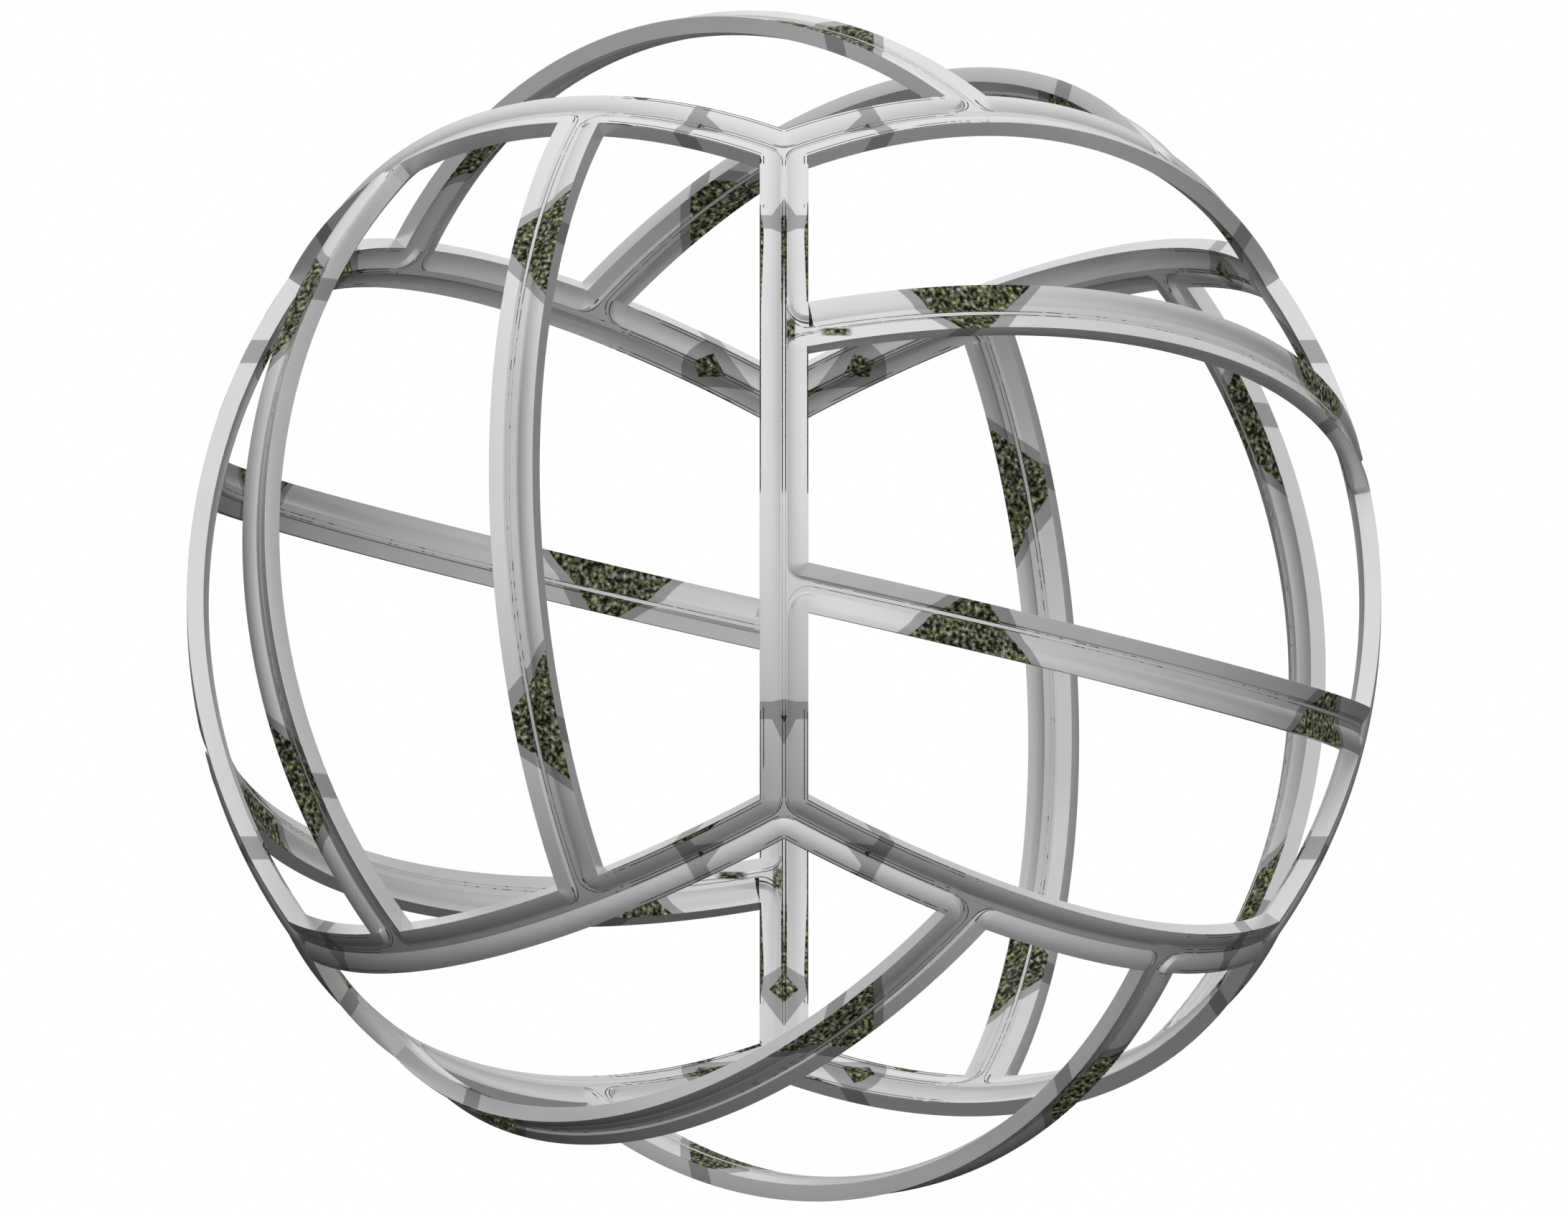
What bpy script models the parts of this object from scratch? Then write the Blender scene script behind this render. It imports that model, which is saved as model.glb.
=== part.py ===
"""Globe climber: a sphere of polished steel members that a child climbs through.

The sphere is laid out like a volleyball. Each of the six sides of a cube, blown up onto the
sphere, is split by two cross members into three windows. Every window has its own closed frame.
Neighbouring frames meet along a groove, and a flat spine fills the joint between them.
Units are metres, +Z is up, and the ground is at z = 0.
"""
import math

import bmesh
import bpy
from mathutils import Matrix, Vector

# Driving dimensions
OUTER_RADIUS = 0.900
THICKNESS = 0.025            # radial depth of every member
GROOVE_DEPTH = 0.0085        # drop from a member's edges to its seam
SPINE_HALF_WIDTH = 0.0045
EDGE_HALF_WIDTH = 0.0366     # seam plane to window wall, on the twelve edge members
CROSS_SEAM_TILT = math.radians(17.15)  # seam plane of a cross member, from its side's middle
CROSS_WALL_TILT = math.radians(17.9)   # direction of a cross member's two flat walls
CROSS_INNER_WALL = 0.0396    # from the wall direction's plane to the wall nearer the middle
CROSS_OUTER_WALL = 0.0343    # the same, to the wall nearer the edge member
GAP = 0.0003                 # clearance between touching pieces
CROWN_WIDTH = EDGE_HALF_WIDTH - SPINE_HALF_WIDTH - GAP
INNER_CROWN_WIDTH = 0.0216   # the crown on the middle frames' long sides is narrower
FLAT_LIP = 0.15              # share of a crown's width that stays flat beside the window
CROWN = 0.63                 # sine of the crown's slope where it ends

# Segments along each stretch
LONG_SEGMENTS = 8
SHORT_SEGMENTS = 3
CORNER_SEGMENTS = 3

# Stations across a frame: 0 at the window wall, 1 where its crown ends, 2 at the seam
FRAME_STATIONS = (0.0, FLAT_LIP, 0.6, 1.0, 2.0)

X, Y, Z = Vector((1, 0, 0)), Vector((0, 1, 0)), Vector((0, 0, 1))
CENTRE_HEIGHT = OUTER_RADIUS * math.cos(CROSS_WALL_TILT - math.asin(CROSS_INNER_WALL / OUTER_RADIUS))


def crown_drop(station):
    """Drop of a member's surface below the sphere at a station across its frame."""
    run = min(1.0, max(0.0, (station - FLAT_LIP) / (1.0 - FLAT_LIP))) * CROWN
    return GROOVE_DEPTH * (1.0 - math.sqrt(1.0 - run * run)) / (1.0 - math.sqrt(1.0 - CROWN * CROWN))


class Side:
    """One side of a window: its flat wall and its seam, as planes facing the window."""

    def __init__(self, wall_normal, wall_offset, seam_normal, crown_width):
        self.wall_normal = wall_normal.normalized()
        self.wall_offset = wall_offset
        self.seam_normal = seam_normal.normalized()
        self.crown_width = crown_width

    def plane(self, station, clearance):
        """Plane at a station across; clearance is the space kept beside the spine's middle."""
        if station <= 1.0:
            return self.wall_normal, self.wall_offset - self.crown_width * station
        ledge = station - 1.0
        crown_end = self.wall_offset - self.crown_width
        normal = self.wall_normal.lerp(self.seam_normal, ledge).normalized()
        return normal, crown_end + (clearance - crown_end) * ledge


def edge_side(normal):
    return Side(normal, EDGE_HALF_WIDTH, normal, CROWN_WIDTH)


def on_plane(point, normal, offset, radius):
    """The point moved straight onto a plane, then along it to a distance from the centre."""
    in_plane = point - normal * point.dot(normal)
    return normal * offset + in_plane.normalized() * math.sqrt(radius * radius - offset * offset)


def window_corner(side_a, side_b, near, radius):
    """Where two window walls meet at a distance from the centre, on the side of near."""
    na, nb = side_a.wall_normal, side_b.wall_normal
    line = na.cross(nb).normalized()
    if line.dot(near) < 0:
        line = -line
    dot = na.dot(nb)
    scale = 1.0 / (1.0 - dot * dot)
    foot = (na * (side_a.wall_offset - dot * side_b.wall_offset)
            + nb * (side_b.wall_offset - dot * side_a.wall_offset)) * scale
    return foot + line * math.sqrt(radius * radius - foot.length_squared)


def smooth(t):
    return t * t * (3.0 - 2.0 * t)


class Window:
    """A four-sided opening in the sphere, with its sides in order round it."""

    def __init__(self, sides, segments):
        self.sides = sides
        self.segments = segments

    def corner(self, index, radius):
        side, following = self.sides[index], self.sides[(index + 1) % 4]
        return window_corner(side, following, X, radius)

    def corner_arc(self, index, station, radius, clearance, stops):
        """Points round a corner, at a station across the frame, for stops from 0 to 1."""
        corner = self.corner(index, radius)
        feet = []
        for side in (self.sides[index], self.sides[(index + 1) % 4]):
            normal, offset = side.plane(station, clearance)
            feet.append(on_plane(corner, normal, offset, radius))
        arms = [foot - corner for foot in feet]
        points = []
        for stop in stops:
            if arms[0].length < 1e-9 or arms[1].length < 1e-9:
                points.append(corner.copy())
                continue
            direction = arms[0].normalized().slerp(arms[1].normalized(), stop)
            length = arms[0].length + (arms[1].length - arms[0].length) * smooth(stop)
            points.append((corner + direction * length).normalized() * radius)
        return points

    def side_run(self, index, station, radius, clearance, stops):
        """Points along a side, between the ends of its two corner arcs."""
        normal, offset = self.sides[index].plane(station, clearance)
        start = on_plane(self.corner((index - 1) % 4, radius), normal, offset, radius)
        end = on_plane(self.corner(index, radius), normal, offset, radius)
        centre = normal * offset
        arm = start - centre
        across = normal.cross(arm)
        angle = math.atan2((end - centre).dot(across), (end - centre).dot(arm))
        return [centre + arm * math.cos(angle * t) + across * math.sin(angle * t) for t in stops]

    def loop(self, station, radius, clearance):
        """A closed line round the window, with the same number of points at every station."""
        points = []
        for index in range(4):
            count = self.segments[index]
            run = [i / count for i in range(count)]
            points += self.side_run(index, station, radius, clearance, run)
            arc = [i / CORNER_SEGMENTS for i in range(CORNER_SEGMENTS)]
            points += self.corner_arc(index, station, radius, clearance, arc)
        return points


def middle_window():
    """The middle window of the +X side: its long sides run along Y."""
    wall = math.cos(CROSS_WALL_TILT), math.sin(CROSS_WALL_TILT)
    seam = math.cos(CROSS_SEAM_TILT), math.sin(CROSS_SEAM_TILT)
    upper = Side(X * wall[1] - Z * wall[0], CROSS_INNER_WALL, X * seam[1] - Z * seam[0],
                 INNER_CROWN_WIDTH)
    lower = Side(X * wall[1] + Z * wall[0], CROSS_INNER_WALL, X * seam[1] + Z * seam[0],
                 INNER_CROWN_WIDTH)
    sides = [upper, edge_side(X + Y), lower, edge_side(X - Y)]
    return Window(sides, (LONG_SEGMENTS, SHORT_SEGMENTS, LONG_SEGMENTS, SHORT_SEGMENTS))


def side_window():
    """The window of the +X side that lies beside its edge with the +Z side."""
    inner = Side(Z * math.cos(CROSS_WALL_TILT) - X * math.sin(CROSS_WALL_TILT), CROSS_OUTER_WALL,
                 Z * math.cos(CROSS_SEAM_TILT) - X * math.sin(CROSS_SEAM_TILT), CROWN_WIDTH)
    sides = [edge_side(X - Z), edge_side(X + Y), inner, edge_side(X - Y)]
    return Window(sides, (LONG_SEGMENTS, SHORT_SEGMENTS, LONG_SEGMENTS, SHORT_SEGMENTS))


def skin_loops(bm, loops, closed):
    """Faces between successive rings of points; closed joins the last ring to the first."""
    rings = [[bm.verts.new(point) for point in loop] for loop in loops]
    pairs = list(zip(rings, rings[1:]))
    if closed:
        pairs.append((rings[-1], rings[0]))
    for ring, following in pairs:
        count = len(ring)
        for i in range(count):
            j = (i + 1) % count
            bm.faces.new((ring[i], ring[j], following[j], following[i]))
    return rings


def finish_mesh(bm, name):
    bmesh.ops.remove_doubles(bm, verts=bm.verts, dist=1e-6)
    bmesh.ops.recalc_face_normals(bm, faces=bm.faces)
    mesh = bpy.data.meshes.new(name)
    bm.to_mesh(mesh)
    bm.free()
    mesh.shade_smooth()
    mesh.set_sharp_from_angle(angle=math.radians(35))
    return mesh


def frame_mesh(window, name):
    """A window's frame: crowned outside, flat against the window, the same depth all over."""
    clearance = SPINE_HALF_WIDTH + GAP
    loops = [window.loop(station, OUTER_RADIUS - crown_drop(station), clearance)
             for station in FRAME_STATIONS]
    inside = [station for station in reversed(FRAME_STATIONS) if station != FLAT_LIP]
    loops += [window.loop(station, OUTER_RADIUS - THICKNESS - crown_drop(station), clearance)
              for station in inside]
    bm = bmesh.new()
    skin_loops(bm, loops, closed=True)
    return finish_mesh(bm, name)


SEAM_RADII = (OUTER_RADIUS - GROOVE_DEPTH, OUTER_RADIUS - GROOVE_DEPTH - THICKNESS)


def bar_mesh(left, right, name):
    """A flat bar between two lines of points, each given at the outer and inner radius."""
    sections = [[lo, ro, ri, li] for lo, ro, ri, li in zip(left[0], right[0], right[1], left[1])]
    bm = bmesh.new()
    rings = skin_loops(bm, sections, closed=False)
    bm.faces.new(rings[0])
    bm.faces.new(rings[-1])
    return finish_mesh(bm, name)


def edge_spine_mesh():
    """The spine between the +X and +Z sides, from corner star to corner star."""
    normal = (X - Z).normalized()
    window = side_window()
    stops = [i / LONG_SEGMENTS for i in range(LONG_SEGMENTS + 1)]
    left, right = [], []
    for radius in SEAM_RADII:
        run = window.side_run(0, 2.0, radius, SPINE_HALF_WIDTH, stops)
        shorten = GAP / radius
        run[0] = run[0].lerp(run[1], shorten * LONG_SEGMENTS)
        run[-1] = run[-1].lerp(run[-2], shorten * LONG_SEGMENTS)
        left.append([on_plane(point, normal, SPINE_HALF_WIDTH, radius) for point in run])
        right.append([on_plane(point, normal, -SPINE_HALF_WIDTH, radius) for point in run])
    return bar_mesh(left, right, "edge_spine")


def cross_spine_mesh():
    """The spine between the middle and upper windows of the +X side, flared at both ends."""
    lower, upper = middle_window(), side_window()
    flare = [i / CORNER_SEGMENTS for i in range(1, CORNER_SEGMENTS)]
    run = [i / LONG_SEGMENTS for i in range(LONG_SEGMENTS + 1)]
    lines = []
    for window, long_side in ((lower, 0), (upper, 2)):
        radii = []
        for radius in SEAM_RADII:
            before = window.corner_arc((long_side - 1) % 4, 2.0, radius, SPINE_HALF_WIDTH, flare)
            along = window.side_run(long_side, 2.0, radius, SPINE_HALF_WIDTH, run)
            after = window.corner_arc(long_side, 2.0, radius, SPINE_HALF_WIDTH, flare)
            points = before + along + after
            if points[0].y > 0:
                points.reverse()
            ends = [end_on_edge(points[0], -Y, radius), end_on_edge(points[-1], Y, radius)]
            radii.append([ends[0]] + points + [ends[1]])
        lines.append(radii)
    return bar_mesh(lines[0], lines[1], "cross_spine")


def end_on_edge(point, towards, radius):
    """The point moved against the flank of the edge spine that lies that way."""
    normal = (X - towards).normalized()
    return on_plane(point, normal, SPINE_HALF_WIDTH + GAP, radius)


def corner_star_mesh():
    """The three-armed piece where the edge spines of the +X, +Y and +Z sides meet."""
    window = side_window()
    turn = Matrix(((0, 0, 1), (1, 0, 0), (0, 1, 0)))
    stops = [i / CORNER_SEGMENTS for i in range(CORNER_SEGMENTS + 1)]
    index = next(i for i in range(4) if window.corner(i, OUTER_RADIUS).y > 0
                 and window.corner(i, OUTER_RADIUS).z > 0.5 * OUTER_RADIUS)
    bm = bmesh.new()
    rings = []
    for radius in SEAM_RADII:
        outline = window.corner_arc(index, 2.0, radius, SPINE_HALF_WIDTH, stops)
        third = (turn.inverted() if outline[0].y > outline[-1].y else turn)
        points = outline + [third @ p for p in outline] + [third @ third @ p for p in outline]
        rings.append([bm.verts.new(point) for point in points])
    for i in range(len(rings[0])):
        j = (i + 1) % len(rings[0])
        bm.faces.new((rings[0][i], rings[0][j], rings[1][j], rings[1][i]))
    for radius, ring in zip(SEAM_RADII, rings):
        hub = bm.verts.new((X + Y + Z).normalized() * radius)
        for i in range(len(ring)):
            bm.faces.new((ring[i], ring[(i + 1) % len(ring)], hub))
    return finish_mesh(bm, "corner_star")


def side_name(direction):
    names = ((X, "right"), (-X, "left"), (Y, "rear"), (-Y, "front"), (Z, "top"), (-Z, "bottom"))
    return max(names, key=lambda entry: entry[0].dot(direction))[1]


def metal(name, colour, roughness):
    material = bpy.data.materials.new(name)
    material.use_nodes = True
    shader = material.node_tree.nodes["Principled BSDF"]
    shader.inputs["Base Color"].default_value = (*colour, 1.0)
    shader.inputs["Metallic"].default_value = 1.0
    shader.inputs["Roughness"].default_value = roughness
    return material


def orientations():
    """The twelve turns that carry the +X side of the sphere onto the others."""
    turns = []
    for images in ((X, Y, Z), (Y, Z, X), (Z, X, Y)):
        for signs in ((1, 1, 1), (1, -1, -1), (-1, 1, -1), (-1, -1, 1)):
            columns = [image * sign for image, sign in zip(images, signs)]
            turns.append(Matrix(columns).transposed())
    return turns


def place(mesh, name, turn, centre, collection, material):
    piece = bpy.data.objects.new(name, mesh)
    piece.parent = centre
    piece.rotation_euler = turn.to_euler()
    if not mesh.materials:
        mesh.materials.append(material)
    collection.objects.link(piece)


def main():
    for leftover in list(bpy.data.objects):
        bpy.data.objects.remove(leftover, do_unlink=True)
    collection = bpy.data.collections.new("globe_climber")
    bpy.context.scene.collection.children.link(collection)
    centre = bpy.data.objects.new("sphere_centre", None)
    centre.location = (0.0, 0.0, CENTRE_HEIGHT)
    collection.objects.link(centre)

    frame_steel = metal("polished_frame_steel", (0.74, 0.75, 0.76), 0.14)
    spine_steel = metal("spine_steel", (0.62, 0.63, 0.64), 0.26)
    star_steel = metal("star_steel", (0.66, 0.67, 0.68), 0.22)
    middle_frame = frame_mesh(middle_window(), "middle_frame")
    side_frame = frame_mesh(side_window(), "side_frame")
    edge_spine = edge_spine_mesh()
    cross_spine = cross_spine_mesh()
    corner_star = corner_star_mesh()

    for number, turn in enumerate(orientations()):
        face, beside = side_name(turn @ X), side_name(turn @ Z)
        if number % 2 == 0:
            place(middle_frame, f"middle_frame_{face}", turn, centre, collection, frame_steel)
        place(side_frame, f"side_frame_{face}_{beside}", turn, centre, collection, frame_steel)
        place(edge_spine, f"edge_spine_{face}_{beside}", turn, centre, collection, spine_steel)
        place(cross_spine, f"cross_spine_{face}_{beside}", turn, centre, collection, spine_steel)
    for quarter in range(8):
        turn = Matrix.Rotation(math.radians(90 * (quarter % 4)), 3, "Z")
        if quarter >= 4:
            turn = turn @ Matrix.Rotation(math.radians(-90), 3, "X")
        corner = turn @ (X + Y + Z)
        name = "_".join(("corner_star", side_name(X * corner.x), side_name(Y * corner.y),
                         side_name(Z * corner.z)))
        place(corner_star, name, turn, centre, collection, star_steel)


main()
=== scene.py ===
"""Looks for the globe climber: finely modelled frames, spines and stars in polished steel, with
painted reflections in mottled patches, grey bands and fine dark lines.

Every CAD node is replaced by a finer piece of the same kind, built from the same planes and radii.
Pieces of one kind share a mesh that is modelled on the +X side and turned into place.
"""

import math

import bmesh
import bpy
from mathutils import Matrix, Vector


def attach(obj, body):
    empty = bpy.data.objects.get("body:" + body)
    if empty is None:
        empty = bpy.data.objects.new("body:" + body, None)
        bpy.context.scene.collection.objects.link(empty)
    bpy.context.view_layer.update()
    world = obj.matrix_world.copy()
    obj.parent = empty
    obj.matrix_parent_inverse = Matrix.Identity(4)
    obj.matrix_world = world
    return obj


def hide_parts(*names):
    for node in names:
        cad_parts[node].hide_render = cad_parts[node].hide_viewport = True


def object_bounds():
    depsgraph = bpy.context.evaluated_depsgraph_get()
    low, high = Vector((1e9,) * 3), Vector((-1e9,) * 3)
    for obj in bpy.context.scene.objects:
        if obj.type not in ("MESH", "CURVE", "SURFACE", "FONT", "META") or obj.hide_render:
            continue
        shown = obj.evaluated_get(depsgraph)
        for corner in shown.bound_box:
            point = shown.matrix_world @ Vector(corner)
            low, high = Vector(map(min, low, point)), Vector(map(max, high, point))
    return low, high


X, Y, Z = Vector((1, 0, 0)), Vector((0, 1, 0)), Vector((0, 0, 1))

# Driving dimensions, in metres, as in the CAD
OUTER_RADIUS = 0.900
THICKNESS = 0.025
GROOVE_DEPTH = 0.0085        # from the sphere down to a seam
SPINE_HALF_WIDTH = 0.0045
EDGE_HALF_WIDTH = 0.0366
CROSS_SEAM_TILT = math.radians(17.15)
CROSS_WALL_TILT = math.radians(17.9)
CROSS_INNER_WALL = 0.0396    # from a cross member's middle plane to the middle window
CROSS_OUTER_WALL = 0.0343    # and to the side window
GAP = 0.0003

# A member's section. Stations across a frame run from 0 at the window to 1 at the crown's end and
# on to 2 beside the spine.
CROWN_WIDTH = EDGE_HALF_WIDTH - SPINE_HALF_WIDTH - GAP
INNER_CROWN_WIDTH = 0.0216   # on the middle window's long sides
FLAT_LIP = 0.15              # station up to which the surface stays on the sphere
CROWN = 0.63                 # how far out the crown's arc runs, as a share of its radius
FLAT_SHARE = 0.62            # of the groove's depth, reached at a flat side's crown end
TIP_START = 0.72             # station from which a creased corner's crown falls to the ledge
EDGE_ROUND = 0.0005          # rounding along the frames' wall edges
SEAM_RADII = (OUTER_RADIUS - GROOVE_DEPTH, OUTER_RADIUS - GROOVE_DEPTH - THICKNESS)
CLOSE_GAP = 0.00005          # what is left of the gap beside a finely modelled spine
GROOVE_PLACE = 0.0021        # from a spine's border to its fine groove
GROOVE_HALF_WIDTH = 0.00045
GROOVE_CUT = 0.0008

# Segments along each stretch
LONG_SEGMENTS = 56
SHORT_SEGMENTS = 18
CORNER_SEGMENTS = 10
CROWN_SEGMENTS = 10
SPINE_SEGMENTS = 4           # between a spine's two grooves
GROOVE_STATION = 2           # number of the groove's bottom among a spine's stations
STAR_MIDDLE = 5              # number of the middle one of a spine's stations
SHARP_ANGLE = math.radians(15)
SAME_POINT = 1e-6


def smooth(t):
    return t * t * (3.0 - 2.0 * t)


def arc_fall(run):
    """How far a circle of radius 1 has fallen at a distance from its top."""
    return 1.0 - math.sqrt(1.0 - run * run)


def crown_drop(station, flat=False):
    """Drop of a member's surface below the sphere at a station across its frame."""
    if flat:
        share = min(station, 1.0) * FLAT_SHARE + max(0.0, station - 1.0) * (1.0 - FLAT_SHARE)
        return GROOVE_DEPTH * share
    run = min(1.0, max(0.0, (station - FLAT_LIP) / (1.0 - FLAT_LIP))) * CROWN
    return GROOVE_DEPTH * arc_fall(run) / arc_fall(CROWN)


class Side:
    """One side of a window: its flat wall and its seam, as planes facing the window."""

    def __init__(self, wall_normal, wall_offset, seam_normal, crown_width, member, flat=False):
        self.wall_normal = wall_normal.normalized()
        self.wall_offset = wall_offset
        self.seam_normal = seam_normal.normalized()
        self.crown_width = crown_width
        self.member = member
        self.flat = flat

    def plane(self, station, clearance):
        """Plane at a station across; clearance is the space kept beside the spine's middle."""
        if station <= 1.0:
            return self.wall_normal, self.wall_offset - self.crown_width * station
        ledge = station - 1.0
        crown_end = self.wall_offset - self.crown_width
        normal = self.wall_normal.lerp(self.seam_normal, ledge).normalized()
        return normal, crown_end + (clearance - crown_end) * ledge


def on_plane(point, normal, offset, radius):
    """The point moved straight onto a plane, then along it to a distance from the centre."""
    in_plane = point - normal * point.dot(normal)
    return normal * offset + in_plane.normalized() * math.sqrt(radius * radius - offset * offset)


def window_corner(side_a, side_b, near, radius):
    """Where two window walls meet at a distance from the centre, on the side of near."""
    na, nb = side_a.wall_normal, side_b.wall_normal
    line = na.cross(nb).normalized()
    if line.dot(near) < 0:
        line = -line
    dot = na.dot(nb)
    scale = 1.0 / (1.0 - dot * dot)
    foot = (na * (side_a.wall_offset - dot * side_b.wall_offset)
            + nb * (side_b.wall_offset - dot * side_a.wall_offset)) * scale
    return foot + line * math.sqrt(radius * radius - foot.length_squared)


class Window:
    """A four-sided opening in the sphere, with its sides in order round it."""

    def __init__(self, sides, segments, creased=()):
        self.sides = sides
        self.segments = segments
        self.creased = creased

    def crown_drops(self, index, station, stops):
        """Drops round a corner: a creased one keeps its edge member's crown up to the crease."""
        if index not in self.creased or station > 1.0:
            start, end = (crown_drop(station, self.sides[side % 4].flat)
                          for side in (index, index + 1))
            return [start + (end - start) * smooth(stop) for stop in stops]
        drops = []
        for stop in stops:
            turn = 1.0 - stop if self.sides[index].member.is_cross else stop
            drop = crown_drop(station * math.cos(turn * math.pi / 2))
            tip = smooth(max(0.0, (station - TIP_START) / (1.0 - TIP_START)))
            drops.append(drop + (GROOVE_DEPTH - drop) * tip)
        return drops

    def corner(self, index, radius):
        side, following = self.sides[index], self.sides[(index + 1) % 4]
        return window_corner(side, following, X, radius)

    def corner_arc(self, index, station, radius, clearance, stops):
        """Points round a corner, at a station across the frame, for stops from 0 to 1."""
        corner = self.corner(index, radius)
        arms = []
        for side in (self.sides[index], self.sides[(index + 1) % 4]):
            normal, offset = side.plane(station, clearance)
            arms.append(on_plane(corner, normal, offset, radius) - corner)
        start, end = arms
        if min(start.length, end.length) < SAME_POINT:
            return [corner.copy() for _ in stops]
        points = []
        for stop in stops:
            direction = start.normalized().slerp(end.normalized(), stop)
            length = start.length + (end.length - start.length) * smooth(stop)
            points.append((corner + direction * length).normalized() * radius)
        return points

    def side_run(self, index, station, radius, clearance, stops):
        """Points along a side, between the ends of its two corner arcs."""
        normal, offset = self.sides[index].plane(station, clearance)
        start = on_plane(self.corner((index - 1) % 4, radius), normal, offset, radius)
        end = on_plane(self.corner(index, radius), normal, offset, radius)
        centre = normal * offset
        arm = start - centre
        across = normal.cross(arm)
        angle = math.atan2((end - centre).dot(across), (end - centre).dot(arm))
        return [centre + arm * math.cos(angle * t) + across * math.sin(angle * t) for t in stops]

    def loop(self, station, radius, clearance):
        """A closed line round the window, at a radius that is lowered by the crown's drop."""
        points = []
        for index in range(4):
            count = self.segments[index]
            run = [i / count for i in range(count)]
            drop = crown_drop(station, self.sides[index].flat)
            points += self.side_run(index, station, radius - drop, clearance, run)
            arc = [i / CORNER_SEGMENTS for i in range(CORNER_SEGMENTS)]
            corner = self.corner_arc(index, station, radius, clearance, arc)
            drops = self.crown_drops(index, station, arc)
            points += [point * (1.0 - drop / radius) for point, drop in zip(corner, drops)]
        return points

    def owners(self):
        """The member that each stretch of a loop belongs to, or None round the corners."""
        owners = []
        for side, count in zip(self.sides, self.segments):
            owners += [side.member] * count + [None] * CORNER_SEGMENTS
        return owners

    def creases(self):
        """The places round a loop of the narrow steps in the creased corners."""
        places = []
        for index in self.creased:
            start = sum(self.segments[:index + 1]) + index * CORNER_SEGMENTS
            first = self.sides[index].member.is_cross
            places.append(start if first else start + CORNER_SEGMENTS - 1)
        return places


# ---- Painted reflections: how far a point is inside the mottled patches, the grey bands and the fine lines ----

# A painted reflection lies across a member between two borders. Here, in radii from the member's
# middle, are the nearer border and its shift by share 1, and the further border and its shift by
# share 1. The share rises across a cross member from one wall to the other, and on an edge member
# from 0 at a distance from the seam, the painted reflection's reach, to 1 on the seam.
CROSS_MOTTLE, CROSS_BAND = (0.398, -0.091, 0.4445, 0.0675), (0.366, -0.0765, 0.465, 0.0635)
OUTER_MOTTLE, OUTER_BAND = (0.429, 0.0, 0.427, 0.013), (0.4096, -0.0066, 0.4365, 0.0365)
INNER_MOTTLE, INNER_BAND = (0.432, -0.030, 0.430, 0.030), (0.4097, -0.0247, 0.4388, 0.0702)
WALL_BAND = (0.410, 0.0, 0.450, 0.0)
# Reach of a painted reflection's mottled patch and of its grey band, as a share of an edge member's
# half width
OUTER_REACHES, INNER_REACHES = (0.2, 0.5), (0.63, 1.0)

# Fine dark lines, painted reflections. Strengths say how far the dashes of a line join up: 0 none,
# 0.7 mostly.
LINE_PLACE = 0.0010          # from a wall to the middle of the line along it, in metres
CROSS_FADE, EDGE_FADE = (0.10, 0.40), (0.10, 0.42)       # radii along, from weak to full strength
CROSS_LINE_STRENGTH = 0.42
CROSS_LINE_GROWTH = 0.30     # added by the member's end
CORNER_LINE_STRENGTH = 0.7
CORNER_LINE_REACH = 0.0025   # the most that a place counts as off a corner's line
FRAME_FILLING, SPINE_FILLING, INNER_FILLING = 0.34, 0.0, 0.40
NEVER_FILLED = -1.0

# Borders for a place with no painted reflection
NO_PAINTED_REFLECTION = (-1.0, -1.0, 0.0)
NO_LINE = (1.0, 0.0, 0.0)


def peak(distance, reach):
    """1 on the seam, falling evenly to 0 at a distance from it."""
    return max(0.0, 1.0 - distance / reach)


def fade(value, start, end):
    return smooth(min(1.0, max(0.0, (value - start) / (end - start))))


def inside(reflection_borders, along, share):
    """Distances of a point from a painted reflection's two borders; both are above 0 inside it."""
    near, near_shift, far, far_shift = reflection_borders
    return along - (near + near_shift * share), far + far_shift * share - along, 0.0


class Member:
    """A member's own coordinates: along it from its middle, and across it from its seam."""

    def __init__(self, along, across, is_cross):
        self.along = along.normalized()
        self.across = across.normalized()
        self.is_cross = is_cross

    def grain(self, point):
        return (point.dot(self.along), point.dot(self.across), 0.0)

    def radii_along(self, point):
        """Distance from the member's middle, in radii, the same towards both ends."""
        return abs(point.dot(self.along)) / OUTER_RADIUS

    def painted_reflections(self, point, surface):
        """Two pairs of distances, in radii, to both borders of the painted reflection's mottled
        patch and its grey band.
        """
        along, across = self.radii_along(point), point.dot(self.across)
        if surface == "wall":
            return NO_PAINTED_REFLECTION, inside(WALL_BAND, along, 0.0)
        if self.is_cross:
            share = (across + CROSS_INNER_WALL) / (CROSS_INNER_WALL + CROSS_OUTER_WALL)
            return inside(CROSS_MOTTLE, along, share), inside(CROSS_BAND, along, share)
        outside = surface == "outside"
        mottle, band = (OUTER_MOTTLE, OUTER_BAND) if outside else (INNER_MOTTLE, INNER_BAND)
        reaches = OUTER_REACHES if outside else INNER_REACHES
        mottle_share, band_share = (peak(abs(across) / EDGE_HALF_WIDTH, reach) for reach in reaches)
        return inside(mottle, along, mottle_share), inside(band, along, band_share)

    def lines(self, point, rim, surface, filling):
        """Distance from the rim of a painted reflection line, and the strength of the line and of
        its filling.
        """
        along = self.radii_along(point)
        if self.is_cross:
            strength = CROSS_LINE_STRENGTH + CROSS_LINE_GROWTH * fade(along, *CROSS_FADE)
            return rim, strength, NEVER_FILLED
        if surface == "inside":
            filling = INNER_FILLING * fade(along, *CROSS_FADE)
        return rim, fade(along, *EDGE_FADE), filling


def cross_member():
    """The cross member between the middle and upper windows of the +X side."""
    return Member(Y, Z * math.cos(CROSS_WALL_TILT) - X * math.sin(CROSS_WALL_TILT), True)


def edge_side(normal, along):
    return Side(normal, EDGE_HALF_WIDTH, normal, CROWN_WIDTH, Member(along, normal, False))


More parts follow.
